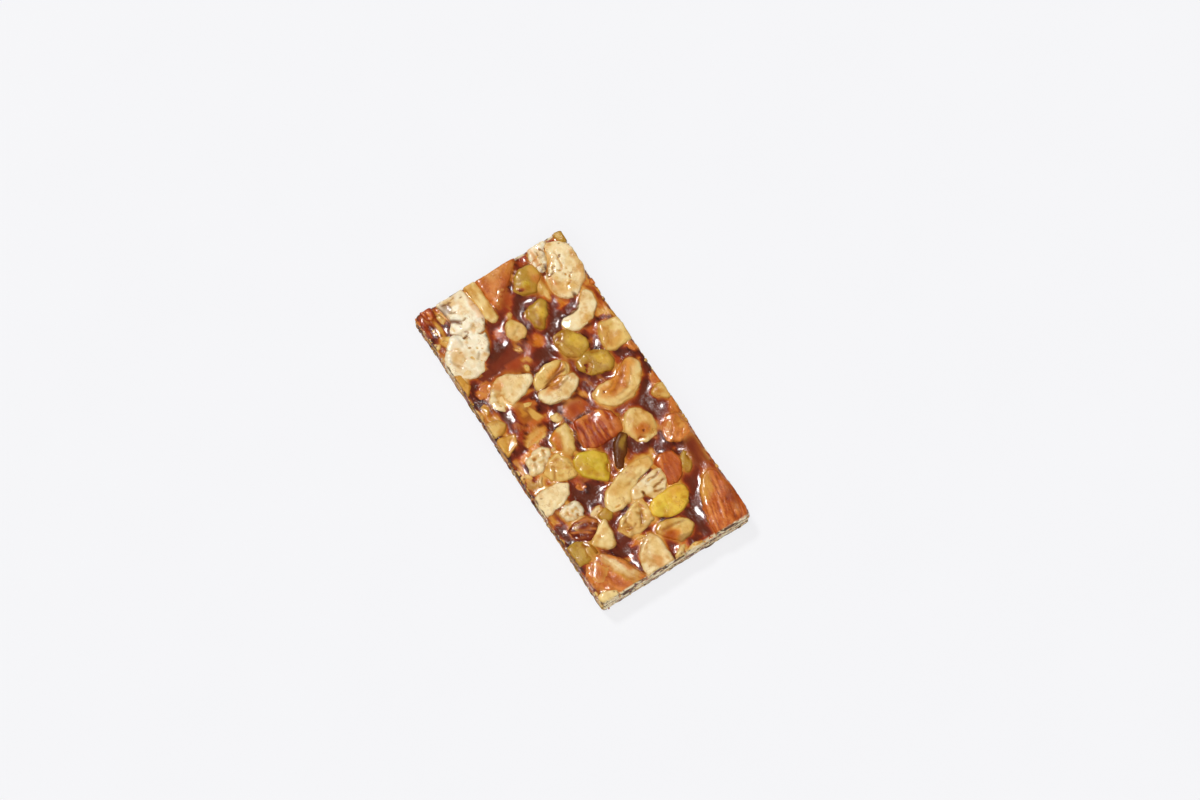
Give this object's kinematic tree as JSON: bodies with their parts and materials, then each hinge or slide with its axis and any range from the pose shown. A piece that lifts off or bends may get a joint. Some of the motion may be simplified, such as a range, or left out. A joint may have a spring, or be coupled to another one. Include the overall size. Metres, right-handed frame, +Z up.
{
  "type": "nut brittle bar",
  "caption": "Rectangular bar of brittle: broken cashews, almonds, pistachios and walnut set in dark glossy caramel, cut with a knife.",
  "frame": {"origin": "middle of the flat underside", "axes": "+X along the bar's long side, +Y across it, +Z up through its thickness"},
  "size_m": [0.116, 0.057, 0.011],
  "materials": {
    "caramel": "boiled sugar, glossy, dark red-brown where deep and amber where thin",
    "cashew": "cream nut flesh under a thin sugar glaze",
    "almond": "red-brown wrinkled skin, pale amber where cut",
    "pistachio": "olive yellow-green nut flesh under a thin sugar glaze",
    "walnut": "tan, crumbly and folded"
  },
  "bodies": {
    "root": {"caramel": "caramel", "almond_corner_bit": "almond", "almond_cut": "almond", "almond_dark": "almond", "almond_edge_glazed": "almond", "almond_end_third": "almond", "almond_glossy": "almond", "almond_red": "almond", "almond_ridged": "almond", "almond_slice": "almond", "almond_smooth": "almond", "almond_under_glaze": "almond", "cashew_amber": "cashew", "cashew_broad_left": "cashew", "cashew_broad_right": "cashew", "cashew_cleft": "cashew", "cashew_clouded": "cashew", "cashew_corner_end": "cashew", "cashew_corner_half": "cashew", "cashew_crescent": "cashew", "cashew_dipped": "cashew", "cashew_end_face": "cashew", "cashew_end_strip": "cashew", "cashew_far_amber": "cashew", "cashew_far_edge": "cashew", "cashew_far_nib": "cashew", "cashew_glazed_bit": "cashew", "cashew_glazed_edge": "cashew", "cashew_glazed_nib": "cashew", "cashew_glint_nib": "cashew", "cashew_gold_nib": "cashew", "cashew_large": "cashew", "cashew_long_half": "cashew", "cashew_near_corner": "cashew", "cashew_near_edge": "cashew", "cashew_near_slab": "cashew", "cashew_pale_bit": "cashew", "cashew_point": "cashew", "cashew_ring_left": "cashew", "cashew_ring_right": "cashew", "cashew_round": "cashew", "cashew_sliver": "cashew", "cashew_striped": "cashew", "cashew_wedge": "cashew", "pistachio_clear": "pistachio", "pistachio_corner": "pistachio", "pistachio_dark": "pistachio", "pistachio_gold": "pistachio", "pistachio_green": "pistachio", "pistachio_large": "pistachio", "pistachio_left": "pistachio", "pistachio_near_edge": "pistachio", "pistachio_nib": "pistachio", "pistachio_pair": "pistachio", "pistachio_sliver": "pistachio", "walnut_crumbly": "walnut", "walnut_flake": "walnut", "walnut_knob": "walnut", "walnut_knot": "walnut"}
  },
  "joints": []
}
